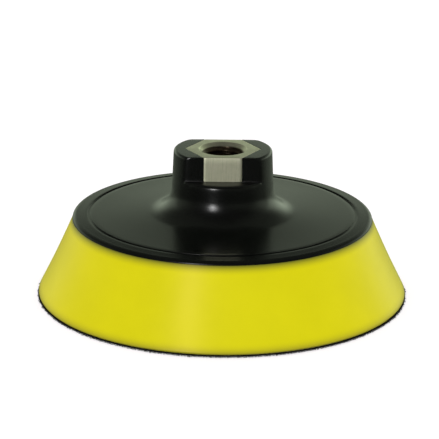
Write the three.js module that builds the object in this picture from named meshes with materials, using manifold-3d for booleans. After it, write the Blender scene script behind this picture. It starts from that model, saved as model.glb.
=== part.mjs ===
// Hook-and-loop backing plate for a rotary polisher.
// A steel nut with an M14 thread is moulded into a nylon hub plate. A cone of polyurethane foam is
// keyed to ribs under that plate, and a disc of hook fastener is bonded to the foam's wide face.
// A polishing pad presses onto the hooks, and a 22 mm open-ended spanner holds the hub by its two flats.
// The frame is in millimetres: the origin is the centre of the face the hook tips lie in, +Z runs up the
// spin axis towards the spindle, and the two spanner flats face -Y and +Y.

import * as THREE from 'three';
import { mergeVertices } from 'three/addons/utils/BufferGeometryUtils.js';
import Module from 'manifold-3d';

const wasm = await Module();
wasm.setup();

// Overall sizes
const FACE_DIAMETER = 125; // hook fastener, the widest part
const RIM_DIAMETER = 101; // outer edge of the moulded plate
const FOAM_THICKNESS = 26; // from the bonding film up to the plate's outer edge
const HUB_RISE = 22.4; // hub top above the deck beside the groove

// Hook fastener and the film that bonds it
const HOOK_HEIGHT = 0.4;
const TAPE_THICKNESS = 0.3;
const FILM_THICKNESS = 0.1;
const FOAM_SETBACK = 0.3; // how far the foam's face stays inside the tape's edge
const FOAM_EDGE_RADIUS = 0.6;

// Plate: deck, groove and rim
const PLATE_THICKNESS = 3.2;
const DECK_CROWN = 0.9; // the deck's rise from the groove to the hub's fillet
const GROOVE_INSET = 5.5; // from the plate's outer edge in to the middle of the groove
const GROOVE_WIDTH = 1.1;
const GROOVE_DEPTH = 0.5;
const RIM_FALL = 0.3; // from the groove out to the rounded edge
const EDGE_ROUND_WIDTH = 1.7;
const EDGE_ROUND_HEIGHT = 1.1;
const LIP_WIDTH = 3; // the tapered underside of the edge

// Plate: keying ribs moulded into the foam
const RIB_HEIGHT = 3;
const RIB_WIDTH = 2.2;
const SPOKE_COUNT = 8;
const OUTER_RIB_INSET = 4; // from the groove in to the outer ring rib

// Hub
const HUB_WALL = 3.8; // nylon outside the nut's corners, at the top
const HUB_DRAFT = THREE.MathUtils.degToRad(2.5);
const HUB_FILLET = 8.5;
const HUB_EDGE_RADIUS = 1;
const FLAT_HEIGHT = 8.3; // spanner flats, from the hub's top down to the ledge

// Nut
const THREAD_DIAMETER = 14;
const THREAD_PITCH = 2;
const NUT_ACROSS_FLATS = 22;
const NUT_LENGTH = 16;
const NECK_INSET = 0.4; // faces of the buried hexagon, inside the spanner flats above it
const FLANGE_LIP = 1.4; // flange beyond the hexagon's corners
const FLANGE_THICKNESS = 2.6;
const NOTCH_COUNT = 12;
const NOTCH_RADIUS = 1.3;
const NOTCH_ROUND = 12; // steps in a full turn of a notch
const COUNTERSINK_LIP = 1.15; // mouth radius beyond the thread's major radius

// Fits
const MOULD_GAP = 0.1; // shrinkage gap between pieces moulded round each other
const POCKET_CLEARANCE = 0.6; // round the tip of the spindle, below the nut
const POCKET_DEPTH = 4;

// Fineness of the round shapes
const ROUND = 72; // steps in a full turn
const BORE_ROUND = 32; // steps in a full turn of the bore and its thread
const ARC_STEPS = 6;
const EDGE_STEPS = 3; // in the hub's small top edge
const OVERCUT = 1; // how far a cutter runs past the face it cuts

// Heights worked out from the sizes above
const tapeBottom = HOOK_HEIGHT;
const filmBottom = tapeBottom + TAPE_THICKNESS;
const foamBottom = filmBottom + FILM_THICKNESS;
const rimEdge = foamBottom + FOAM_THICKNESS;
const deck = rimEdge + EDGE_ROUND_HEIGHT + RIM_FALL;
const plateUnderside = deck - PLATE_THICKNESS;
const hubTop = deck + HUB_RISE;
const ledge = hubTop - FLAT_HEIGHT;
const nutBottom = hubTop - NUT_LENGTH;
const pocketBottom = nutBottom - POCKET_DEPTH;

// Radii worked out from the sizes above
const faceRadius = FACE_DIAMETER / 2;
const rimRadius = RIM_DIAMETER / 2;
const grooveRadius = rimRadius - GROOVE_INSET;
const majorRadius = THREAD_DIAMETER / 2;
const threadHeight = (THREAD_PITCH * Math.sqrt(3)) / 2; // the whole triangle of an ISO metric thread
const minorRadius = majorRadius - (5 / 8) * threadHeight;
const hexCornerRadius = NUT_ACROSS_FLATS / Math.sqrt(3);
const flangeRadius = hexCornerRadius + FLANGE_LIP;
const pocketRadius = majorRadius + POCKET_CLEARANCE;
const hubTopRadius = hexCornerRadius + HUB_WALL;
const hubFootRadius = hubTopRadius + (HUB_RISE - DECK_CROWN - HUB_FILLET) * Math.tan(HUB_DRAFT);
const filletFootRadius = hubFootRadius + HUB_FILLET;
const outerRibRadius = grooveRadius - OUTER_RIB_INSET;
const foamFaceRadius = faceRadius - FOAM_SETBACK;
const filmRadius = foamFaceRadius - FOAM_EDGE_RADIUS;
const wallLean = THREE.MathUtils.radToDeg(Math.atan2(foamFaceRadius - rimRadius, FOAM_THICKNESS));

const point = (radius, height) => new THREE.Vector2(radius, height);

// Points on an arc from one angle to the other, in degrees, in the (radius, height) plane.
function arc(centre, radiusAcross, radiusUp, from, to, steps = ARC_STEPS) {
  const points = [];
  for (let i = 0; i <= steps; i++) {
    const angle = THREE.MathUtils.degToRad(from + ((to - from) * i) / steps);
    points.push(point(
      centre.x + radiusAcross * Math.cos(angle),
      centre.y + radiusUp * Math.sin(angle),
    ));
  }
  return points;
}

// A solid of revolution about Z. The profile runs from the axis below to the axis above.
function turned(profile, steps = ROUND) {
  return new THREE.LatheGeometry(profile, steps).rotateX(Math.PI / 2);
}

function disc(radius, bottom, top, steps = ROUND) {
  return turned([point(0, bottom), point(radius, bottom), point(radius, top), point(0, top)], steps);
}

function box(width, depth, bottom, top) {
  return new THREE.BoxGeometry(width, depth, top - bottom).translate(0, 0, (bottom + top) / 2);
}

// A manifold-3d solid from a closed three.js geometry.
function solid(geometry) {
  const bare = geometry.clone();
  bare.deleteAttribute('normal');
  bare.deleteAttribute('uv');
  const merged = mergeVertices(bare, 1e-4);
  return new wasm.Manifold(new wasm.Mesh({
    numProp: 3,
    vertProperties: merged.attributes.position.array,
    triVerts: new Uint32Array(merged.index.array),
  }));
}

function geometryOf(made) {
  const { vertProperties, triVerts } = made.getMesh();
  const geometry = new THREE.BufferGeometry();
  geometry.setAttribute('position', new THREE.BufferAttribute(vertProperties, 3));
  geometry.setIndex(new THREE.BufferAttribute(triVerts, 1));
  geometry.computeVertexNormals();
  return geometry;
}

// A six-sided prism with two of its flats facing -Y and +Y.
function hexagon(flatDistance, bottom, top) {
  const cornerRadius = flatDistance / Math.cos(Math.PI / 6);
  const corners = [];
  for (let corner = 0; corner < 6; corner++) {
    const angle = (corner * Math.PI) / 3;
    corners.push(point(cornerRadius * Math.cos(angle), cornerRadius * Math.sin(angle)));
  }
  const prism = new THREE.ExtrudeGeometry(new THREE.Shape(corners), {
    depth: top - bottom,
    bevelEnabled: false,
  });
  return prism.translate(0, 0, bottom);
}

// The nut's outside, grown by a gap on every face: a hexagon, whose flats end just above the hub's
// ledge, on a smaller hexagonal neck and a notched flange. Top is how high the hexagon is carried.
function nutOutside(gap, top) {
  const flatDistance = NUT_ACROSS_FLATS / 2 + gap;
  const bottom = nutBottom - gap;
  const head = hexagon(flatDistance, ledge + MOULD_GAP - gap, top);
  const neck = hexagon(flatDistance - NECK_INSET, bottom, ledge + OVERCUT);
  const flangeTop = nutBottom + FLANGE_THICKNESS + gap;
  let flange = solid(disc(flangeRadius + gap, bottom, flangeTop));
  for (let notch = 0; notch < NOTCH_COUNT; notch++) {
    const angle = ((notch + 0.5) * 2 * Math.PI) / NOTCH_COUNT;
    const cutter = disc(NOTCH_RADIUS - gap, bottom - OVERCUT, flangeTop + OVERCUT, NOTCH_ROUND);
    cutter.translate(flangeRadius * Math.cos(angle), flangeRadius * Math.sin(angle), 0);
    flange = flange.subtract(solid(cutter));
  }
  return solid(head).add(solid(neck)).add(flange);
}

// The helical V that an ISO metric thread cuts outside its minor radius.
function threadGroove() {
  const inside = 0.3; // how far the cutter stands inside the minor radius
  const rootHalf = THREAD_PITCH / 16;
  const mouthRadius = minorRadius - inside;
  const mouthHalf = rootHalf + (majorRadius - mouthRadius) * Math.tan(Math.PI / 6);
  const section = new THREE.Shape([
    point(-rootHalf, majorRadius),
    point(-mouthHalf, mouthRadius),
    point(mouthHalf, mouthRadius),
    point(rootHalf, majorRadius),
  ]);
  const turns = NUT_LENGTH / THREAD_PITCH + 2;
  const steps = Math.round(turns * BORE_ROUND);
  const groove = new THREE.ExtrudeGeometry(section, { depth: 1, steps, bevelEnabled: false });
  const place = groove.attributes.position;
  for (let i = 0; i < place.count; i++) {
    const along = place.getX(i);
    const radius = place.getY(i);
    const turn = place.getZ(i) * turns;
    const angle = turn * 2 * Math.PI;
    place.setXYZ(
      i,
      radius * Math.cos(angle),
      radius * Math.sin(angle),
      nutBottom - THREAD_PITCH + turn * THREAD_PITCH + along,
    );
  }
  return groove;
}

function makeThreadedNut() {
  const mouthRadius = majorRadius + COUNTERSINK_LIP;
  const coneDepth = mouthRadius - minorRadius; // both countersinks are 90 degree cones
  const bore = turned([
    point(0, nutBottom - OVERCUT),
    point(mouthRadius, nutBottom - OVERCUT),
    point(mouthRadius, nutBottom),
    point(minorRadius, nutBottom + coneDepth),
    point(minorRadius, hubTop - coneDepth),
    point(mouthRadius, hubTop),
    point(mouthRadius, hubTop + OVERCUT),
    point(0, hubTop + OVERCUT),
  ], BORE_ROUND);
  return nutOutside(0, hubTop).subtract(solid(bore)).subtract(solid(threadGroove()));
}

// The ring ribs and spokes under the plate, grown by a gap, which key it into the foam.
function keyingRibs(gap) {
  const bottom = plateUnderside - RIB_HEIGHT - gap;
  const top = plateUnderside + OVERCUT;
  const halfWidth = RIB_WIDTH / 2 + gap;
  const ring = (radius) => new THREE.LatheGeometry([
    point(radius - halfWidth, bottom),
    point(radius + halfWidth, bottom),
    point(radius + halfWidth, top),
    point(radius - halfWidth, top),
    point(radius - halfWidth, bottom),
  ], ROUND).rotateX(Math.PI / 2);
  let ribs = solid(ring(filletFootRadius)).add(solid(ring(outerRibRadius)));
  const length = outerRibRadius - filletFootRadius;
  for (let spoke = 0; spoke < SPOKE_COUNT; spoke++) {
    const bar = box(length, 2 * halfWidth, bottom, top);
    bar.translate((outerRibRadius + filletFootRadius) / 2, 0, 0);
    bar.rotateZ(((spoke + 0.5) * 2 * Math.PI) / SPOKE_COUNT);
    ribs = ribs.add(solid(bar));
  }
  return ribs;
}

// The plate's outline from its outer edge up over the groove, the deck and the hub.
function plateOutline() {
  const roundedEdge = arc(
    point(rimRadius - EDGE_ROUND_WIDTH, rimEdge), EDGE_ROUND_WIDTH, EDGE_ROUND_HEIGHT, 0, 90,
  );
  const fillet = arc(
    point(filletFootRadius, deck + DECK_CROWN + HUB_FILLET), HUB_FILLET, HUB_FILLET, 270, 180,
  );
  const topEdge = arc(
    point(hubTopRadius - HUB_EDGE_RADIUS, hubTop - HUB_EDGE_RADIUS),
    HUB_EDGE_RADIUS, HUB_EDGE_RADIUS, 0, 90, EDGE_STEPS,
  );
  return [
    point(0, plateUnderside),
    point(rimRadius - LIP_WIDTH, plateUnderside),
    ...roundedEdge,
    point(grooveRadius + GROOVE_WIDTH / 2, deck),
    point(grooveRadius + GROOVE_WIDTH / 2, deck - GROOVE_DEPTH),
    point(grooveRadius - GROOVE_WIDTH / 2, deck - GROOVE_DEPTH),
    point(grooveRadius - GROOVE_WIDTH / 2, deck),
    ...fillet,
    ...topEdge,
    point(0, hubTop),
  ];
}

function makeHubPlate() {
  const cutterWidth = 3 * hubFootRadius;
  const cutterDepth = hubFootRadius;
  let plate = solid(turned(plateOutline())).add(keyingRibs(0));
  plate = plate.subtract(nutOutside(MOULD_GAP, hubTop + OVERCUT));
  plate = plate.subtract(solid(disc(pocketRadius, pocketBottom, nutBottom + OVERCUT, BORE_ROUND)));
  for (const side of [-1, 1]) {
    const cutter = box(cutterWidth, cutterDepth, ledge, hubTop + OVERCUT);
    cutter.translate(0, (side * (NUT_ACROSS_FLATS + cutterDepth)) / 2, 0);
    plate = plate.subtract(solid(cutter));
  }
  return plate;
}

// The foam's face is pulled in from the tape's edge, its lower edge is rounded, and its wall is a cone
// that ends at the plate's outer edge. Its top follows the plate's underside.
function makeFoamBody() {
  const profile = [
    point(0, foamBottom),
    ...arc(
      point(foamFaceRadius - FOAM_EDGE_RADIUS, foamBottom + FOAM_EDGE_RADIUS),
      FOAM_EDGE_RADIUS, FOAM_EDGE_RADIUS, 270, 360 + wallLean,
    ),
    point(rimRadius, rimEdge - MOULD_GAP),
    point(rimRadius - LIP_WIDTH, plateUnderside - MOULD_GAP),
    point(0, plateUnderside - MOULD_GAP),
  ];
  return solid(turned(profile)).subtract(keyingRibs(MOULD_GAP));
}

function material(color, roughness, metalness = 0) {
  return new THREE.MeshStandardMaterial({ color, roughness, metalness });
}

const materials = {
  steel: material(0x9c9a80, 0.35, 1),
  nylon: material(0x171a18, 0.3),
  foam: material(0xdfd61d, 0.6),
  film: material(0xc9c4a4, 0.5),
  hook: material(0x0b0b0b, 0.8),
};

const plate = new THREE.Group();

function add(name, geometry, finish) {
  const mesh = new THREE.Mesh(geometry, finish);
  mesh.name = name;
  plate.add(mesh);
}

add('threaded_nut', geometryOf(makeThreadedNut()), materials.steel);
add('hub_plate', geometryOf(makeHubPlate()), materials.nylon);
add('foam_body', geometryOf(makeFoamBody()), materials.foam);
add('bonding_film', disc(filmRadius, filmBottom, foamBottom), materials.film);
add('hook_tape', disc(faceRadius, tapeBottom, filmBottom), materials.hook);
add('hooks', disc(faceRadius, 0, tapeBottom), materials.hook);

export default plate;
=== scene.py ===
"""Backing plate for a rotary polisher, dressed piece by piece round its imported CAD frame.

Every piece is built in the frame's own metres: +Z up the spin axis, -Y towards the camera.
"""
import math

import bmesh
import bpy
import numpy as np
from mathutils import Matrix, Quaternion, Vector


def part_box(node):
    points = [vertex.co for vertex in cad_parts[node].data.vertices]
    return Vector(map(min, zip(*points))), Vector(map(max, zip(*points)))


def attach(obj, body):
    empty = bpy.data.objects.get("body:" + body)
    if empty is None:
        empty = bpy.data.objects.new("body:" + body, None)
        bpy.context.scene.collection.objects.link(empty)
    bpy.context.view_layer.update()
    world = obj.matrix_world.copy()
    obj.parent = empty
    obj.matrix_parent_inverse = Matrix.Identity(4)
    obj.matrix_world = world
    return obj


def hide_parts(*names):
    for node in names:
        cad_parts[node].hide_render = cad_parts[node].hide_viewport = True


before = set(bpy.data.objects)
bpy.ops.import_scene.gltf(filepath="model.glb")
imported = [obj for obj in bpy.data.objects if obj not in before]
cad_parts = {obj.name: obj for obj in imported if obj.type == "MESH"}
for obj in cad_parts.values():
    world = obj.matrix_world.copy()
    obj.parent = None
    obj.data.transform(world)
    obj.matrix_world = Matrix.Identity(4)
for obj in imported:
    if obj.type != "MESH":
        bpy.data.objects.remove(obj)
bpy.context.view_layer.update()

MM = 0.001
RANDOM = np.random.default_rng(11)

# Sizes from the frame
PLATE_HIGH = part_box("hub_plate")[1]
FOAM_LOW, FOAM_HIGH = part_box("foam_body")
FILM_LOW, FILM_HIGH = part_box("bonding_film")
TAPE_LOW, TAPE_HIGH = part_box("hook_tape")
NUT_LOW, NUT_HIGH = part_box("threaded_nut")
HUB_TOP = PLATE_HIGH.z
RIM_RADIUS = PLATE_HIGH.x
FACE_RADIUS = TAPE_HIGH.x
FILM_RADIUS = FILM_HIGH.x
NUT_FLANGE_RADIUS = NUT_HIGH.x
NUT_BOTTOM = NUT_LOW.z

# Sizes that the frame's boxes don't show, as in the CAD source
FOAM_GAP = 0.1 * MM
RIM_EDGE = FOAM_HIGH.z + FOAM_GAP
EDGE_ROUND = (1.7 * MM, 1.1 * MM)  # across and up
RIM_FALL = 0.3 * MM  # from the groove out to the rounded edge
DECK = RIM_EDGE + EDGE_ROUND[1] + RIM_FALL  # beside the groove
DECK_CROWN = 0.9 * MM  # the deck's rise from the groove to the hub's fillet
PLATE_UNDERSIDE = DECK - 3.2 * MM
LIP_WIDTH = 3 * MM  # the tapered underside of the edge
GROOVE_RADIUS = RIM_RADIUS - 5.5 * MM
GROOVE_HALF = 0.55 * MM
GROOVE_DEPTH = 0.5 * MM
OUTER_RIB_RADIUS = GROOVE_RADIUS - 4 * MM
RIB_HEIGHT = 3 * MM
RIB_HALF = 1.1 * MM
HUB_TOP_RADIUS = 16.5 * MM
HUB_DRAFT = math.radians(2.5)
HUB_FILLET = 8.5 * MM
TOP_EDGE = 1 * MM
FLAT_DISTANCE = 11 * MM
LEDGE = HUB_TOP - 8.3 * MM
THREAD_PITCH = 2 * MM
THREAD_MAJOR = 7 * MM
THREAD_MINOR = THREAD_MAJOR - 5 / 8 * math.sqrt(3) / 2 * THREAD_PITCH
MOUTH_RADIUS = THREAD_MAJOR + 1.15 * MM
NECK_INSET = 0.4 * MM  # faces of the buried hexagon, inside the spanner flats above it
FLANGE_TOP = NUT_BOTTOM + 2.6 * MM
POCKET_RADIUS = THREAD_MAJOR + 0.6 * MM
POCKET_BOTTOM = NUT_BOTTOM - 4 * MM
FOAM_EDGE = 0.6 * MM

# What only the visible pieces have: small rounded edges, a closer fit round the nut, a softer deck and
# a thread that starts at an angle of its own
FLAT_TOP_EDGE = 0.12 * MM
LEDGE_INNER = 0.3 * MM
LEDGE_OUTER = 1.2 * MM
CORNER_SOFTNESS = 2.2 / MM  # of the corner between the hub's wall and its flats: more is sharper
NUT_EDGE = 0.2 * MM
NUT_CORNER = 0.12 * MM
GROOVE_LIP = 0.08 * MM
MOULD_GAP = 0.06 * MM
THREAD_START = 0.5  # of a turn
DECK_SLOPE = 4  # degrees, where the fillet runs out
DECK_HOLLOW = 0.5  # how much steeper the deck gets towards the hub
FOAM_SAG = 0.25 * MM

# Fineness
COLUMN_STEP = 1.25  # degrees
BORE_LEVELS = 145
TUBE_SIDES = 4
WELD = 0.001 * MM  # points this close are joined


# Camera


def make_camera():
    """The photograph's angle: a long lens, a little above the rim, looking along +Y."""
    distance, elevation, roll = 0.782, math.radians(18.22), math.radians(0.54)
    middle = Vector((0, 0, 0.0246))
    aim = Vector((-0.00097, 0, 0.02563))
    data = bpy.data.cameras.new("camera")
    data.sensor_width = 36
    data.lens = 189.8
    data.clip_start = 0.05
    camera = bpy.data.objects.new("camera", data)
    bpy.context.scene.collection.objects.link(camera)
    back = Vector((0, -math.cos(elevation), math.sin(elevation)))
    camera.location = middle + distance * back
    look = (aim - camera.location).to_track_quat("-Z", "Y")
    camera.rotation_mode = "QUATERNION"
    camera.rotation_quaternion = look @ Quaternion((0, 0, 1), roll)
    bpy.context.scene.camera = camera


make_camera()


# Mesh building


def piece_from(name, points, faces, material, sharp):
    """A smooth-shaded mesh piece, its faces turned out and its edges past sharp degrees marked."""
    mesh = bpy.data.meshes.new(name)
    mesh.from_pydata(np.asarray(points).tolist(), [], faces)
    made = bmesh.new()
    made.from_mesh(mesh)
    bmesh.ops.remove_doubles(made, verts=made.verts, dist=WELD)
    bmesh.ops.dissolve_degenerate(made, edges=made.edges, dist=WELD / 10)
    slits = [edge for edge in made.edges if edge.is_boundary]
    bmesh.ops.holes_fill(made, edges=slits, sides=4)
    bmesh.ops.recalc_face_normals(made, faces=made.faces)
    made.to_mesh(mesh)
    made.free()
    mesh.shade_smooth()
    mesh.set_sharp_from_angle(angle=math.radians(sharp))
    return add_piece(name, mesh, material)


def add_piece(name, mesh, material):
    mesh.materials.append(material)
    piece = bpy.data.objects.new(name, mesh)
    bpy.context.scene.collection.objects.link(piece)
    return piece


def stitch(rings, keep=lambda level: None):
    """Quads between neighbouring rings of equal length.

    keep(level) gives the columns to fill above that ring, or None for all of them.
    """
    columns = len(rings[0])
    faces = []
    for level in range(len(rings) - 1):
        chosen = keep(level)
        for column in range(columns) if chosen is None else chosen:
            after = (column + 1) % columns
            low, high = level * columns, (level + 1) * columns
            faces.append((low + column, low + after, high + after, high + column))
    return faces


def ring(radius, height, angles):
    """Points round the axis. radius and height are numbers, or one value for each angle."""
    radius = np.broadcast_to(radius, angles.shape)
    height = np.broadcast_to(height, angles.shape)
    return np.stack([radius * np.cos(angles), radius * np.sin(angles), height], 1)


def turned(name, profile, material, steps=288, sharp=35):
    """A solid of revolution. The profile runs from the axis to the axis, or closes on itself."""
    angles = np.linspace(0, 2 * math.pi, steps, endpoint=False)
    rings = [ring(radius, height, angles) for radius, height in profile]
    return piece_from(name, np.concatenate(rings), stitch(rings), material, sharp)


def arc(centre, across, up, start, end, steps):
    """Points on an elliptical arc in the (radius, height) plane, angles in degrees."""
    return [
        (centre[0] + across * math.cos(a), centre[1] + up * math.sin(a))
        for a in np.radians(np.linspace(start, end, steps + 1))
    ]


def span(start, end, steps):
    """Points between two others in the (radius, height) plane, without either end."""
    return [
        tuple(np.add(start, np.subtract(end, start) * i / steps)) for i in range(1, steps)
    ]


def push_out(mesh, beyond, outwards):
    """Moves the vertices beyond a radius away from the axis, by outwards(angle, height)."""
    for vertex in mesh.vertices:
        x, y, z = vertex.co
        radius = math.hypot(x, y)
        if radius > beyond:
            grow = 1 + outwards(math.atan2(y, x), z) / radius
            vertex.co = (x * grow, y * grow, z)


def waves(angle, *parts):
    """A sum of sine waves round the axis. Each part is its size, its waves in a turn and its phase."""
    return sum(size * math.sin(turns * angle + phase) for size, turns, phase in parts)


def finish_piece(piece, node):
    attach(piece, "root")
    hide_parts(node)
    return piece


# Materials


def node(tree, kind, links=None, **settings):
    """Adds a node, with its settings, and links or sets its inputs."""
    made = tree.nodes.new(kind)
    for name, value in settings.items():
        setattr(made, name, value)
    for socket, value in (links or {}).items():
        if isinstance(value, bpy.types.NodeSocket):
            tree.links.new(value, made.inputs[socket])
        else:
            made.inputs[socket].default_value = value
    return made


def new_material(name):
    material = bpy.data.materials.new(name)
    material.use_nodes = True
    tree = material.node_tree
    return material, tree, tree.nodes["Principled BSDF"]


def set_up(tree, shader, **inputs):
    """Sets or links the shader's inputs; a name's underscores are spaces."""
    for name, value in inputs.items():
        socket = shader.inputs[name.replace("_", " ")]
        if isinstance(value, bpy.types.NodeSocket):
            tree.links.new(value, socket)
        else:
            socket.default_value = value


def place(tree, scale=(1, 1, 1)):
    """The frame's own coordinates, scaled. The pieces' objects all sit at its origin."""
    where = node(tree, "ShaderNodeTexCoord").outputs["Object"]
    return node(tree, "ShaderNodeMapping", {"Vector": where, "Scale": scale}).outputs["Vector"]


def noise(tree, vector, scale, detail=3.0, roughness=0.55):
    """Noise with features of about 1 / scale metres."""
    links = {"Vector": vector, "Scale": scale, "Detail": detail, "Roughness": roughness}
    return node(tree, "ShaderNodeTexNoise", links).outputs["Fac"]


def spread(tree, value, low, high, from_low=0.3, from_high=0.7):
    """Maps a range, which is a noise's usual one unless it's given, on to low to high."""
    links = {
        "Value": value, "From Min": from_low, "From Max": from_high, "To Min": low, "To Max": high,
    }
    return node(tree, "ShaderNodeMapRange", links).outputs["Result"]


def blend_colours(tree, amount, first, second):
    made = node(tree, "ShaderNodeMix", data_type="RGBA")
    tree.links.new(amount, made.inputs["Factor"])
    for socket, colour in zip((6, 7), (first, second)):
        if isinstance(colour, bpy.types.NodeSocket):
            tree.links.new(colour, made.inputs[socket])
        else:
            made.inputs[socket].default_value = (*colour, 1)
    return made.outputs[2]


def math_node(tree, operation, first, second=0.0):
    return node(tree, "ShaderNodeMath", {0: first, 1: second}, operation=operation).outputs[0]


def times(tree, value, by):
    return math_node(tree, "MULTIPLY", value, by)


def axes(tree, vector):
    """A vector's three parts, under the names X, Y and Z."""
    return node(tree, "ShaderNodeSeparateXYZ", {0: vector}).outputs


def edge_shade(tree, height, start, end, power):
    """Rises from 0 at the height start to 1 at end, slowly and then fast."""
    rise = spread(tree, height, 0, 1, start, end)
    return math_node(tree, "POWER", rise, power)


def bump(tree, height, depth, strength, under=None):
    """A normal that follows a height map, on top of the normal under it."""
    links = {"Height": height, "Distance": depth, "Strength": strength}
    if under is not None:
        links["Normal"] = under
    return node(tree, "ShaderNodeBump", links).outputs["Normal"]


def distance_from_axis(tree):
    flat = place(tree, (1, 1, 0))
    return node(tree, "ShaderNodeVectorMath", {0: flat}, operation="LENGTH").outputs["Value"]


def on_ledge(tree):
    """1 on the ledges below the spanner flats, which are cut after moulding, and 0 elsewhere."""
    where = axes(tree, place(tree))
    across = math_node(tree, "ABSOLUTE", where["Y"])
    past_flat = spread(tree, across, 0, 1, FLAT_DISTANCE - 0.4 * MM, FLAT_DISTANCE - 0.3 * MM)
    away = math_node(tree, "ABSOLUTE", math_node(tree, "SUBTRACT", where["Z"], LEDGE))
    return times(tree, past_flat, spread(tree, away, 1, 0, 0.15 * MM, 0.3 * MM))


def oil_and_shade_in_thread(tree):
    """0 on the nut's outside, 0.35 in the bore's mouth and 1 down in the thread: the share of dark oil
    and painted shade.
    """
    bore = spread(tree, distance_from_axis(tree), 1, 0, MOUTH_RADIUS - 0.2 * MM, MOUTH_RADIUS)
    height = axes(tree, place(tree))["Z"]
    # Painted shade: the bore's mouth takes 0.35 of the thread's dark colour, so its chamfer shows darker
    # than the top face.
    depth = spread(tree, height, 1, 0.35, HUB_TOP - 1.35 * MM, HUB_TOP - 1 * MM)
    return times(tree, bore, depth)


def make_steel():
    """Dull nickel plate, with the cutter's marks up and down the flats, dark oil and painted shade in
    the thread, and painted shade on the bore's chamfer.
    """
    material, tree, shader = new_material("nickel_plate")
    lines = noise(tree, place(tree, (1, 1, 0.03)), 5200, 4)
    clouds = noise(tree, place(tree), 450, 3)
    grain = noise(tree, place(tree), 9000, 2)
    worn = math_node(tree, "ADD", times(tree, lines, 0.7), times(tree, clouds, 0.3))
    dull, bright = (0.74, 0.765, 0.54), (0.94, 0.935, 0.71)
    plate = blend_colours(tree, spread(tree, worn, 0, 1, 0.38, 0.62), dull, bright)
    # Dark oil with painted shade: the thread's colour also stands in for the shade down the bore.
    shaded_thick_oil, shaded_thin_oil = (0.05, 0.037, 0.024), (0.11, 0.08, 0.05)
    oil = blend_colours(tree, spread(tree, clouds, 0, 1), shaded_thick_oil, shaded_thin_oil)
    oiled_and_shaded = oil_and_shade_in_thread(tree)
    rough = math_node(tree, "SUBTRACT", spread(tree, worn, 0.52, 0.42), times(tree, oiled_and_shaded, 0.17))
    dents = bump(tree, grain, 0.02 * MM, 0.3)
    set_up(
        tree, shader, Base_Color=blend_colours(tree, oiled_and_shaded, plate, oil), Metallic=0.9,
        Roughness=rough, Normal=bump(tree, lines, 0.02 * MM, 0.5, dents),
    )
    return material


def make_nylon(name, shine):
    """Black glass-filled nylon off a polished mould, with faint flow marks.

    shine is the shader's specular level.
    """
    material, tree, shader = new_material(name)
    flow = noise(tree, place(tree), 60, 4)
    fine = noise(tree, place(tree), 1600, 3)
    dark, pale = (0.003, 0.0038, 0.003), (0.0045, 0.0055, 0.0045)
    polished = spread(tree, math_node(tree, "ADD", flow, fine), 0.2, 0.26, 0.7, 1.3)
    cut = times(tree, on_ledge(tree), 0.25)
    flow_marks = bump(tree, flow, 0.05 * MM, 0.25)
    set_up(
        tree, shader, Base_Color=blend_colours(tree, spread(tree, flow, 0, 1), dark, pale),
        Roughness=math_node(tree, "ADD", polished, cut), IOR=1.5, Specular_IOR_Level=shine,
        Normal=bump(tree, fine, 0.004 * MM, 0.5, flow_marks),
    )
    return material


def make_foam():
    """Bright yellow moulded foam: a smooth skin with fine pores, with painted shade at its two edges,
    under the plate's rim and above the hook face.
    """
    material, tree, shader = new_material("yellow_foam")
    mottle = noise(tree, place(tree), 70, 4)
    skin = noise(tree, place(tree), 2600, 3)
    cells = node(tree, "ShaderNodeTexVoronoi", {"Vector": place(tree), "Scale": 1500})
    pores = spread(tree, cells.outputs["Distance"], 0, 1, 0.0, 0.3)
    height = axes(tree, place(tree))["Z"]
    # Painted shade: darker and greener in the 3 mm of foam just under the plate's rim.
    under_rim_shade = edge_shade(tree, height, RIM_EDGE - 3 * MM, RIM_EDGE, 1.6)
    # Painted shade: darker over the 4 mm above the foam's lower edge, next to the hook face.
    above_face_shade = edge_shade(tree, height, FOAM_LOW.z + 4 * MM, FOAM_LOW.z, 2.8)
    deep, bright = (0.653, 0.652, 0.0008), (0.691, 0.689, 0.0012)
    # The colours of the painted shade under the rim and above the hook face.
    rim_painted_shade, face_painted_shade = (0.1, 0.12, 0.016), (0.16, 0.157, 0.018)
    clean = blend_colours(tree, spread(tree, mottle, 0, 1), deep, bright)
    shaded_under_rim = blend_colours(tree, under_rim_shade, clean, rim_painted_shade)
    soft = bump(tree, mottle, 0.08 * MM, 0.15)
    fine = bump(tree, skin, 0.012 * MM, 0.3, soft)
    set_up(
        tree, shader, Base_Color=blend_colours(tree, above_face_shade, shaded_under_rim, face_painted_shade),
        Roughness=spread(tree, skin, 0.27, 0.35),
        Specular_IOR_Level=0.36, Specular_Tint=(1, 0.68, 0.34, 1),
        Normal=bump(tree, pores, 0.01 * MM, 0.3, fine),
    )
    return material


def make_film():
    """A thin amber line of adhesive film."""
    material, tree, shader = new_material("adhesive_film")
    clouds = noise(tree, place(tree), 800, 3)
    amber, straw = (0.45, 0.41, 0.2), (0.62, 0.58, 0.36)
    set_up(
        tree, shader, Base_Color=blend_colours(tree, spread(tree, clouds, 0, 1), amber, straw),
        Roughness=spread(tree, clouds, 0.4, 0.6), Normal=bump(tree, clouds, 0.02 * MM, 0.3),
    )
    return material


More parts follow.
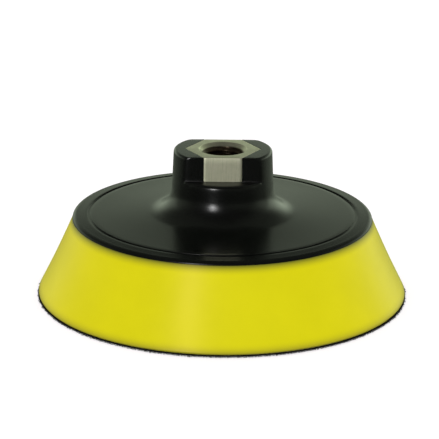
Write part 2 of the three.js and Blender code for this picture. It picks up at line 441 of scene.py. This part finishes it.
def make_tape():
    """Black woven tape: two crossed waves of thread, with the fibres' fine grain."""
    material, tree, shader = new_material("woven_tape")
    threads = 9000  # radians in a metre
    along = axes(tree, place(tree, (threads, threads, threads)))
    warp = math_node(tree, "SINE", along["X"])
    weft = math_node(tree, "SINE", along["Y"])
    woven = bump(tree, times(tree, warp, weft), 0.06 * MM, 0.8)
    fibres = noise(tree, place(tree, (1, 0.2, 1)), 8000, 3)
    set_up(
        tree, shader,
        Base_Color=blend_colours(tree, fibres, (0.003, 0.003, 0.003), (0.011, 0.011, 0.01)),
        Roughness=spread(tree, fibres, 0.6, 0.85),
        Specular_IOR_Level=0.2, Normal=bump(tree, fibres, 0.02 * MM, 0.6, woven),
    )
    return material


def make_hook():
    """Black nylon monofilament."""
    material, tree, shader = new_material("hook_filament")
    streaks = noise(tree, place(tree), 5000, 2)
    set_up(
        tree, shader,
        Base_Color=blend_colours(tree, streaks, (0.01, 0.01, 0.01), (0.032, 0.032, 0.03)),
        Roughness=spread(tree, streaks, 0.35, 0.55),
        Specular_IOR_Level=0.4, Normal=bump(tree, streaks, 0.01 * MM, 0.4),
    )
    return material


STEEL = make_steel()
NYLON = make_nylon("black_nylon", 0.5)
RIM_NYLON = make_nylon("black_nylon_rim", 0.25)
FOAM = make_foam()
FILM = make_film()
TAPE = make_tape()
HOOK = make_hook()


# Threaded nut


def hexagon_radius(angles, flat_distance, corner=0.0):
    """Distance from the axis to a hexagon with flats facing -Y and +Y.

    corner is how far each corner is cut back, over about a degree to either side.
    """
    half_side = math.pi / 6
    corner_width = 0.02
    from_middle = angles % (2 * half_side) - half_side
    from_corner = half_side - np.abs(from_middle)
    return flat_distance / np.cos(from_middle) - corner * np.exp(-(from_corner / corner_width) ** 2)


def thread_radius(angles, heights):
    """The wall of a right-hand ISO metric thread, opened into a 90 degree cone at each end."""
    turn = (heights - NUT_BOTTOM) / THREAD_PITCH - angles / (2 * math.pi) + THREAD_START
    from_crest = np.abs(turn - np.round(turn)) * THREAD_PITCH
    slope = (from_crest - THREAD_PITCH / 8) * math.sqrt(3)
    wall = np.clip(THREAD_MINOR + slope, THREAD_MINOR, THREAD_MAJOR)
    from_end = np.minimum(heights - NUT_BOTTOM, HUB_TOP - heights)
    return np.maximum(wall, MOUTH_RADIUS - from_end)


def notched_radius(angles, count=12, radius=1.3 * MM):
    """The anchoring flange's edge, with round notches for the nylon to key into."""
    step = 2 * math.pi / count
    from_notch = (np.mod(angles, step) - step / 2) * NUT_FLANGE_RADIUS
    bite = np.sqrt(np.clip(radius**2 - from_notch**2, 0, None))
    return NUT_FLANGE_RADIUS - bite


def soften_thread(mesh):
    """Unmarks the bore's sharp edges, so that crests and flanks shade as one worn surface."""
    outside = THREAD_MAJOR + 0.01 * MM
    for edge in mesh.edges:
        ends = [mesh.vertices[i].co for i in edge.vertices]
        if all(math.hypot(end.x, end.y) < outside for end in ends):
            edge.use_edge_sharp = False


def make_nut():
    """Up the bore and its thread, over the rounded top edge, and down the flats, neck and flange."""
    angles = np.radians(np.arange(0, 360, COLUMN_STEP))
    bore_heights = np.linspace(NUT_BOTTOM, HUB_TOP, BORE_LEVELS)
    bore = [ring(thread_radius(angles, height), height, angles) for height in bore_heights]
    outside = []
    for a in np.radians(np.linspace(0, 90, 5)):
        inset, drop = NUT_EDGE * (1 - math.sin(a)), NUT_EDGE * (1 - math.cos(a))
        radius = hexagon_radius(angles, FLAT_DISTANCE - inset, NUT_CORNER)
        outside.append(ring(radius, HUB_TOP - drop, angles))
    hexagon = hexagon_radius(angles, FLAT_DISTANCE, NUT_CORNER)
    shoulder = LEDGE + MOULD_GAP
    for height in np.linspace(HUB_TOP - NUT_EDGE, shoulder, 5)[1:]:
        outside.append(ring(hexagon, height, angles))
    neck = hexagon_radius(angles, FLAT_DISTANCE - NECK_INSET)
    flange = notched_radius(angles)
    outside += [ring(neck, shoulder, angles), ring(neck, FLANGE_TOP, angles)]
    outside += [ring(flange, FLANGE_TOP, angles), ring(flange, NUT_BOTTOM, angles)]
    rings = bore + outside + bore[:1]
    nut = piece_from("nut", np.concatenate(rings), stitch(rings), STEEL, 30)
    soften_thread(nut.data)
    return finish_piece(nut, "threaded_nut")


# Hub plate


def hub_angles():
    """One angle for each column of the hub, closer together at the corners of the spanner flats."""
    corner_start, corner_end = 43.75, 51.5  # degrees from a flat's middle
    turns = np.arange(0, 90, COLUMN_STEP)
    corners = np.arange(corner_start, corner_end, COLUMN_STEP / 4)
    tip = math.degrees(math.atan2(window_half_width(), FLAT_DISTANCE))
    quarter = np.concatenate([turns, corners, [tip]])
    half = np.unique(np.round(np.concatenate([quarter, [90], 180 - quarter]), 6))
    half = half[half < 180]
    return np.radians(np.concatenate([half - 90, half + 90]))


def window_half_width():
    """Half the width of nylon that is missing at a spanner flat, where the nut shows."""
    cavity = FLAT_DISTANCE + MOULD_GAP
    return (cavity - FLAT_DISTANCE / 2) / math.cos(math.pi / 6)


def flat_reach(angles):
    """Distance from the axis to the planes of the two spanner flats, at most 20 times the least."""
    return FLAT_DISTANCE / np.maximum(np.abs(np.sin(angles)), 0.05)


def wall_radius(height):
    return HUB_TOP_RADIUS + (HUB_TOP - height) * math.tan(HUB_DRAFT)


def soft_step(value):
    value = np.clip(value, 0, 1)
    return value * value * (3 - 2 * value)


def rounding(height, size):
    """How far an edge of this size is rounded off inwards at a height near the hub's top."""
    down = np.clip((HUB_TOP - height) / size, 0, 1)
    return size * (1 - math.sqrt(1 - (1 - down) ** 2))


def flat_radius(angles, height, near_tip=1.0):
    """The hub's wall cut by the spanner flats, with a soft corner between the two."""
    wall = wall_radius(height) - rounding(height, TOP_EDGE)
    flat = flat_reach(angles) - rounding(height, FLAT_TOP_EDGE) * near_tip
    nearer, further = np.minimum(wall, flat), np.maximum(wall, flat)
    return nearer - np.log1p(np.exp(-(further - nearer) * CORNER_SOFTNESS)) / CORNER_SOFTNESS


def ledge_path(angles, near_tip):
    """The skin from the foot of the flats over the ledge and its rounded edge, in two lists.

    Both hold a radius for each angle and a height. The first runs down to the ledge and the second
    crosses it. Where there is no flat, the second goes evenly down the wall.
    """
    fade = 0.8 * MM
    wall = wall_radius(LEDGE)
    flat = flat_radius(angles, LEDGE)
    gap = wall - flat
    on_flat = soft_step(gap / fade)
    inner_round = np.minimum(LEDGE_INNER * near_tip, 0.3 * gap)
    outer_round = np.minimum(LEDGE_OUTER, 0.5 * gap)
    foot, crossing = [], []
    for a in np.radians(np.linspace(0, 90, 5))[1:]:
        foot.append((flat + inner_round * (1 - np.cos(a)), LEDGE + LEDGE_INNER * (1 - np.sin(a))))
    for share in (0.33, 0.66):
        crossing.append((flat + inner_round + (gap - inner_round - outer_round) * share, LEDGE))
    for a in np.radians(np.linspace(90, 0, 7)):
        radius = wall - outer_round + outer_round * np.cos(a)
        crossing.append((radius, LEDGE - outer_round * (1 - np.sin(a))))
    steps = len(foot) + len(crossing)
    evenly = np.linspace(LEDGE + LEDGE_INNER, LEDGE - LEDGE_OUTER, steps + 1)[len(foot) + 1:]
    blended = [
        (radius, even + (height - even) * on_flat) for (radius, height), even in zip(crossing, evenly)
    ]
    return foot, blended


def hub_levels(angles):
    """The hub's skin from its top edge, down the flats and over the ledge: rings outside and in."""
    fade = 1.2 * MM
    cavity = hexagon_radius(angles, FLAT_DISTANCE + MOULD_GAP)
    width = np.clip(flat_radius(angles, HUB_TOP - TOP_EDGE) - cavity, 0, None)
    near_tip = soft_step(width / fade)
    outer, inner = [], []

    def level(radius, height):
        outer.append(ring(radius, height, angles))
        inner.append(ring(cavity, height, angles))

    down = 1 - np.sin(np.radians(np.linspace(0, 90, 7)))
    for drop in np.unique(np.concatenate([FLAT_TOP_EDGE * down, TOP_EDGE * down])):
        level(flat_radius(angles, HUB_TOP - drop, near_tip), HUB_TOP - drop)
    for height in np.linspace(HUB_TOP - TOP_EDGE, LEDGE + LEDGE_INNER, 7)[1:]:
        level(flat_radius(angles, height), height)
    foot, crossing = ledge_path(angles, near_tip)
    for radius, height in foot:
        level(radius, height)
    for radius, height in crossing:
        outer.append(ring(radius, height, angles))
    return outer, inner


def fillet_centre():
    """Radius and height of the centre of the fillet between the hub's wall and the deck."""
    height = DECK + DECK_CROWN + HUB_FILLET
    return wall_radius(height) + HUB_FILLET, height


def deck_profile(start, end_radius):
    """The crowned deck between the hub's fillet and the groove, a little steeper near the hub."""
    points = []
    for share in np.linspace(0, 1, 13)[1:-1]:
        left = 1 - share
        rise = (left + DECK_HOLLOW * left**2) / (1 + DECK_HOLLOW)
        radius = start[0] + (end_radius - start[0]) * share
        points.append((radius, DECK + (start[1] - DECK) * rise))
    return points


def groove_profile():
    """Across the groove from the inside out, with a small round at each of its four corners."""
    inside, outside = GROOVE_RADIUS - GROOVE_HALF, GROOVE_RADIUS + GROOVE_HALF
    top, bottom = DECK - GROOVE_LIP, DECK - GROOVE_DEPTH + GROOVE_LIP
    points = []
    for centre, start, end in (
        ((inside - GROOVE_LIP, top), 90, 0), ((inside + GROOVE_LIP, bottom), 180, 270),
        ((outside - GROOVE_LIP, bottom), 270, 360), ((outside + GROOVE_LIP, top), 180, 90),
    ):
        points += arc(centre, GROOVE_LIP, GROOVE_LIP, start, end, steps=4)
    return points


def rib_profile(base, height, half):
    """The plate's two ring ribs, from the outer one in, or the grooves in the foam that hold them."""
    points = []
    for middle in (OUTER_RIB_RADIUS, fillet_centre()[0]):
        points += [
            (middle + half, base), (middle + half, base - height),
            (middle - half, base - height), (middle - half, base),
        ]
    return points


def plate_profile():
    """From below the ledge down the hub, out over the deck to the rim, and in underneath to the axis."""
    centre = fillet_centre()
    profile = []
    for height in np.linspace(LEDGE - LEDGE_OUTER, centre[1], 6)[1:-1]:
        profile.append((wall_radius(height), height))
    profile += arc(centre, HUB_FILLET, HUB_FILLET, 180, 270 - DECK_SLOPE, steps=18)
    groove = groove_profile()
    profile += deck_profile(profile[-1], groove[0][0])
    profile += groove
    shoulder = (RIM_RADIUS - EDGE_ROUND[0], RIM_EDGE + EDGE_ROUND[1])
    profile += span(profile[-1], shoulder, steps=4)
    profile += arc((shoulder[0], RIM_EDGE), *EDGE_ROUND, 90, 0, steps=12)
    profile.append((RIM_RADIUS - LIP_WIDTH, PLATE_UNDERSIDE))
    profile += rib_profile(PLATE_UNDERSIDE, RIB_HEIGHT, RIB_HALF)
    profile.append((0, PLATE_UNDERSIDE))
    return profile


def cavity_profile():
    """Below the hexagon's cavity: round the nut's flange, and down the spindle's pocket to the axis."""
    flange = NUT_FLANGE_RADIUS + MOULD_GAP
    bottom = NUT_BOTTOM - MOULD_GAP
    return [
        (flange, FLANGE_TOP + MOULD_GAP), (flange, bottom),
        (POCKET_RADIUS, bottom), (POCKET_RADIUS, POCKET_BOTTOM), (0, POCKET_BOTTOM),
    ]


def dull_rim(mesh):
    """The rim outside the groove is duller than the deck."""
    mesh.materials.append(RIM_NYLON)
    for face in mesh.polygons:
        if math.hypot(face.center.x, face.center.y) > GROOVE_RADIUS + GROOVE_HALF:
            face.material_index = 1


def make_hub():
    """The hub's outer skin and its cavity, joined round the top.

    Above the ledge, both leave out a window in each spanner flat, where the nut's own flat shows. The
    window's columns of the skin meet the cavity's wall at the ledge.
    """
    angles = hub_angles()
    outer, inner = hub_levels(angles)
    sideways = flat_reach(angles) * np.abs(np.cos(angles))
    is_window = sideways < window_half_width() - WELD / 10
    after = np.roll(is_window, -1)
    nylon = [i for i in range(len(angles)) if not (is_window[i] or after[i])]
    ledge_level = len(inner) - 1
    cavity = FLAT_DISTANCE + MOULD_GAP
    window_edge = ring(hexagon_radius(angles, cavity), LEDGE, angles)
    outer[ledge_level][is_window] = window_edge[is_window]

    skin = outer + [ring(radius, height, angles) for radius, height in plate_profile()]
    neck = hexagon_radius(angles, cavity - NECK_INSET)
    inside = inner + [ring(neck, LEDGE, angles), ring(neck, FLANGE_TOP + MOULD_GAP, angles)]
    inside += [ring(radius, height, angles) for radius, height in cavity_profile()]

    def keep(level):
        return nylon if level < ledge_level else None

    faces = stitch(skin, keep)
    start = len(skin) * len(angles)
    faces += [tuple(start + corner for corner in face) for face in stitch(inside, keep)]
    for i in nylon:
        j = (i + 1) % len(angles)
        faces.append((i, j, start + j, start + i))
    hub = piece_from("hub", np.concatenate(skin + inside), faces, NYLON, 28)
    dull_rim(hub.data)
    return finish_piece(hub, "hub_plate")


# Foam


def make_foam_body():
    """The foam cone: its wall is a little hollow and uneven, and its lower edge is rounded."""
    low = FOAM_LOW.z
    top = (RIM_RADIUS - FOAM_GAP, RIM_EDGE - FOAM_GAP)
    lean = math.degrees(math.atan2(FILM_RADIUS + FOAM_EDGE - top[0], top[1] - low))
    round_edge = arc((FILM_RADIUS, low + FOAM_EDGE), FOAM_EDGE, FOAM_EDGE, 270, 360 + lean, steps=8)
    start = round_edge[-1]
    wall = []
    for share in np.linspace(0, 1, 40)[1:]:
        radius = start[0] + (top[0] - start[0]) * share - FOAM_SAG * math.sin(math.pi * share)
        wall.append((radius, start[1] + (top[1] - start[1]) * share))
    under = PLATE_UNDERSIDE - FOAM_GAP
    profile = [(0, low)] + round_edge + wall + [(RIM_RADIUS - LIP_WIDTH, under)]
    profile += rib_profile(under, RIB_HEIGHT + FOAM_GAP, RIB_HALF + FOAM_GAP)
    profile.append((0, under))
    foam = turned("foam", profile, FOAM, 384, 50)

    def wander(angle, z):
        if z > RIM_EDGE - 0.5 * MM:
            return 0
        return 0.03 * MM * waves(angle, (1, 3, 1.1), (0.6, 7, z * 160), (0.4, 17, -z * 300))

    push_out(foam.data, RIM_RADIUS - MM, wander)
    return finish_piece(foam, "foam_body")


# Hook fastener


def round_edged(radius, low, high):
    """The half circle round a thin disc's edge, from its lower face to its upper one."""
    half = (high - low) / 2
    return arc((radius - half, low + half), half, half, 270, 450, steps=6)


def make_film_disc():
    low, high = FILM_LOW.z, FILM_HIGH.z
    profile = [(0, low)] + round_edged(FILM_RADIUS, low, high) + [(0, high)]
    return finish_piece(turned("film", profile, FILM), "bonding_film")


def tubes(name, centrelines, radii, material):
    """Many closed tubes in one piece. centrelines holds one row of points for each tube."""
    count, steps, _ = centrelines.shape
    aslant = np.array([0.31, 0.95, 0.05])  # a direction that the tubes don't run in
    tangent = np.gradient(centrelines, axis=1)
    tangent /= np.linalg.norm(tangent, axis=2, keepdims=True)
    across = np.cross(tangent, aslant)
    across /= np.linalg.norm(across, axis=2, keepdims=True)
    other = np.cross(tangent, across)
    turn = np.linspace(0, 2 * math.pi, TUBE_SIDES, endpoint=False)
    offsets = (
        across[:, :, None] * np.cos(turn)[None, None, :, None]
        + other[:, :, None] * np.sin(turn)[None, None, :, None]
    )
    points = (centrelines[:, :, None] + offsets * radii[:, :, None, None]).reshape(-1, 3)
    one = stitch([range(TUBE_SIDES)] * steps)
    starts = np.arange(count) * steps * TUBE_SIDES
    quads = np.array(one)[None] + starts[:, None, None]
    caps = np.arange(TUBE_SIDES)[None] + starts[:, None]
    faces = quads.reshape(-1, 4).tolist()
    faces += caps[:, ::-1].tolist()
    faces += (caps + (steps - 1) * TUBE_SIDES).tolist()
    mesh = bpy.data.meshes.new(name)
    mesh.from_pydata(points.tolist(), [], faces)
    mesh.shade_smooth()
    return add_piece(name, mesh, material)


def make_tape_disc():
    """The woven base, with a slightly ragged cut edge."""
    low, high = TAPE_LOW.z, TAPE_HIGH.z
    edge = round_edged(FACE_RADIUS, low, high)
    profile = [(0, low)] + span((0, low), edge[0], steps=4) + edge + [(0, high)]
    tape = turned("tape", profile, TAPE, 720)

    def ragged(angle, z):
        return -0.035 * MM * (2.5 + waves(angle, (1, 211, 0), (0.7, 97, 2), (0.8, 37, 1)))

    push_out(tape.data, FACE_RADIUS - MM, ragged)
    return finish_piece(tape, "hook_tape")


def hook_roots(row_gap=1.2 * MM, hook_gap=1.0 * MM, margin=0.15 * MM, cut_count=800):
    """Where each hook leaves the tape, and its row's number.

    The rows are staggered, and cut_count more hooks stand close together along the cut edge.
    """
    rows = np.arange(-FACE_RADIUS, FACE_RADIUS, row_gap)
    places = []
    for number, y in enumerate(rows):
        x = np.arange(-FACE_RADIUS, FACE_RADIUS, hook_gap) + (number % 2) * hook_gap / 2
        places.append(np.stack([x, np.full_like(x, y), np.full_like(x, number)], 1))
    places = np.concatenate(places)
    places[:, :2] += RANDOM.normal(0, 0.09 * MM, (len(places), 2))
    inside = np.hypot(places[:, 0], places[:, 1]) < FACE_RADIUS - margin
    evenly = np.linspace(0, 2 * math.pi, cut_count, endpoint=False)
    angle = evenly + RANDOM.normal(0, 0.002, cut_count)
    radius = FACE_RADIUS - RANDOM.uniform(0.12, 0.5, cut_count) * MM
    cut = [radius * np.cos(angle), radius * np.sin(angle), np.arange(cut_count)]
    return np.concatenate([places[inside], np.stack(cut, 1)])


def hook_outline(root):
    """One hook's centre line, from inside the tape down its stem and round its bend.

    Its points are distances sideways and heights above the hook face.
    """
    crook, bend = 0.13 * MM, 0.22 * MM
    stem = [(0, root + 0.1 * MM), (0, 0.34 * MM), (0, 0.27 * MM)]
    return np.array(stem + arc((crook, bend), crook, crook, 180, 345, steps=5))


def make_hooks():
    """Nylon hooks, bent over alternately to either side, row by row, in four quarters."""
    filament, tip_share, shrink = 0.085 * MM, 0.75, 0.8
    root = TAPE_LOW.z
    outline = hook_outline(root)
    places = hook_roots()
    count = len(places)
    way = np.where(places[:, 2] % 2 == 0, 0.0, math.pi) + RANDOM.normal(0, 0.3, count)
    lean = RANDOM.normal(0, 0.07, (count, 2))
    size = 1 - np.abs(RANDOM.normal(0, 0.05, count))
    reach = outline[None, :, 0] * size[:, None]
    height = outline[None, :, 1] * np.ones((count, 1))
    height += (root - height) * (1 - size[:, None]) * shrink
    x = places[:, 0, None] + reach * np.cos(way)[:, None] + lean[:, 0, None] * (root - height)
    y = places[:, 1, None] + reach * np.sin(way)[:, None] + lean[:, 1, None] * (root - height)
    lines = np.stack([x, y, height], 2)
    radii = np.full(lines.shape[:2], filament)
    radii[:, -1] = filament * tip_share
    quarter = (places[:, 0] > 0) * 1 + (places[:, 1] < 0) * 2
    for number, name in enumerate(("back_left", "back_right", "front_left", "front_right")):
        chosen = quarter == number
        hooks = tubes("hooks_" + name, lines[chosen], radii[chosen], HOOK)
        finish_piece(hooks, "hooks")


def make_edge_fibres(count=330):
    """Short cut threads that stand out of the tape's edge."""
    fibre, lowest, buried = 0.1 * MM, 0.12 * MM, 0.2 * MM
    angle = RANDOM.uniform(0, 2 * math.pi, count)
    length = RANDOM.uniform(0.25, 0.6, count) * MM
    height = RANDOM.uniform(TAPE_LOW.z + 0.05 * MM, TAPE_HIGH.z - 0.08 * MM, count)
    sideways = RANDOM.normal(0, 0.5, count)
    fall = RANDOM.uniform(-0.2, 0.9, count)
    lines = []
    for share in (-0.4, 0.0, 0.4, 0.75, 1.0):
        out = FACE_RADIUS - buried + length * share
        curl = length * max(share, 0) ** 2
        around = angle + sideways * curl / FACE_RADIUS
        z = np.maximum(height - fall * curl, lowest)
        lines.append(np.stack([out * np.cos(around), out * np.sin(around), z], 1))
    lines = np.stack(lines, 1)
    fibres = tubes("edge_fibres", lines, np.full(lines.shape[:2], fibre), HOOK)
    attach(fibres, "root")


# Stage and light


def make_floor():
    """A pale floor, lit a little from within so that it fades into the white background."""
    material, tree, shader = new_material("pale_floor")
    clouds = noise(tree, place(tree), 3, 2)
    set_up(
        tree, shader,
        Base_Color=blend_colours(tree, clouds, (0.59, 0.59, 0.6), (0.61, 0.61, 0.62)),
        Roughness=0.9, Specular_IOR_Level=0.0,
        Emission_Color=(1, 1, 1, 1), Emission_Strength=0.5,
    )
    half = 6  # metres
    corners = [(-half, -half, 0), (half, -half, 0), (half, half, 0), (-half, half, 0)]
    mesh = bpy.data.meshes.new("floor")
    mesh.from_pydata(corners, [], [(0, 1, 2, 3)])
    floor = add_piece("floor", mesh, material)
    floor.visible_glossy = False


def reflected_glow(tree, way):
    """What reflections see: a greenish glow, low down and behind, brightest a little to both sides."""
    green = (0.86, 1.0, 0.76)
    bottom = -0.2  # of the way's Z, where the ramp starts; it ends at 1
    stops = (
        (0.0, 0.13), (0.08, 0.19), (0.15, 0.58), (0.267, 0.6), (0.342, 0.58),
        (0.43, 0.42), (0.465, 0.29), (0.511, 0.18), (0.625, 0.07), (1.0, 0.05),
    )
    ramp = node(tree, "ShaderNodeValToRGB", {"Fac": spread(tree, way["Z"], 0, 1, bottom, 1)})
    while len(ramp.color_ramp.elements) < len(stops):
        ramp.color_ramp.elements.new(0.5)
    for element, (where, brightness) in zip(ramp.color_ramp.elements, stops):
        element.position = where
        element.color = (*(brightness * share for share in green), 1)
    to_right = math_node(tree, "ADD", times(tree, way["X"], 0.35), 1.0)
    sideways = math_node(tree, "ABSOLUTE", way["X"])
    side_glow = spread(tree, sideways, 1, 1.8, 0.12, 0.32)
    side_fall = spread(tree, sideways, 1, 0.45, 0.84, 0.94)
    to_back = spread(tree, way["Y"], 0.1, 1, -0.45, 0.1)
    bright = times(tree, times(tree, to_right, times(tree, side_glow, side_fall)), to_back)
    links = {0: ramp.outputs["Color"], "Scale": bright}
    return node(tree, "ShaderNodeVectorMath", links, operation="SCALE").outputs["Vector"]


def make_world():
    """A white studio: white to the camera, even light on matt surfaces, and a glow in reflections."""
    world = bpy.data.worlds.new("studio")
    world.use_nodes = True
    bpy.context.scene.world = world
    tree = world.node_tree
    rays = node(tree, "ShaderNodeLightPath").outputs
    way = axes(tree, node(tree, "ShaderNodeTexCoord").outputs["Generated"])
    from_side = spread(tree, math_node(tree, "ABSOLUTE", way["X"]), 0, 1, 0.3, 1)
    soft = blend_colours(tree, from_side, (1.12, 1.12, 1.12), (0.95, 0.62, 0.8))
    lit = blend_colours(tree, rays["Is Diffuse Ray"], reflected_glow(tree, way), soft)
    seen = blend_colours(tree, rays["Is Camera Ray"], lit, (1, 1, 1))
    tree.links.new(seen, tree.nodes["Background"].inputs["Color"])


def make_lamp(name, azimuth, elevation, distance, size, power):
    """An oval lamp aimed at the hub. Azimuth 0 is the camera's side, and minus is to its left."""
    hub = Vector((0, 0, 0.03))
    a, e = math.radians(azimuth), math.radians(elevation)
    data = bpy.data.lights.new(name, "AREA")
    data.shape = "ELLIPSE"
    data.size, data.size_y = size
    data.energy = power
    lamp = bpy.data.objects.new(name, data)
    bpy.context.scene.collection.objects.link(lamp)
    way = Vector((math.sin(a) * math.cos(e), -math.cos(a) * math.cos(e), math.sin(e)))
    lamp.location = hub + distance * way
    lamp.rotation_mode = "QUATERNION"
    lamp.rotation_quaternion = (-way).to_track_quat("-Z", "Y")
    lamp.visible_camera = False
    lamp.visible_diffuse = False


make_nut()
make_hub()
make_foam_body()
make_film_disc()
make_tape_disc()
make_hooks()
make_edge_fibres()
make_floor()
make_world()
make_lamp("softbox", -21, 15, 0.9, (0.22, 0.46), 2.2)
make_lamp("flash", -21, 12, 0.9, (0.035, 0.035), 0.34)
bpy.context.scene.view_settings.view_transform = "Standard"
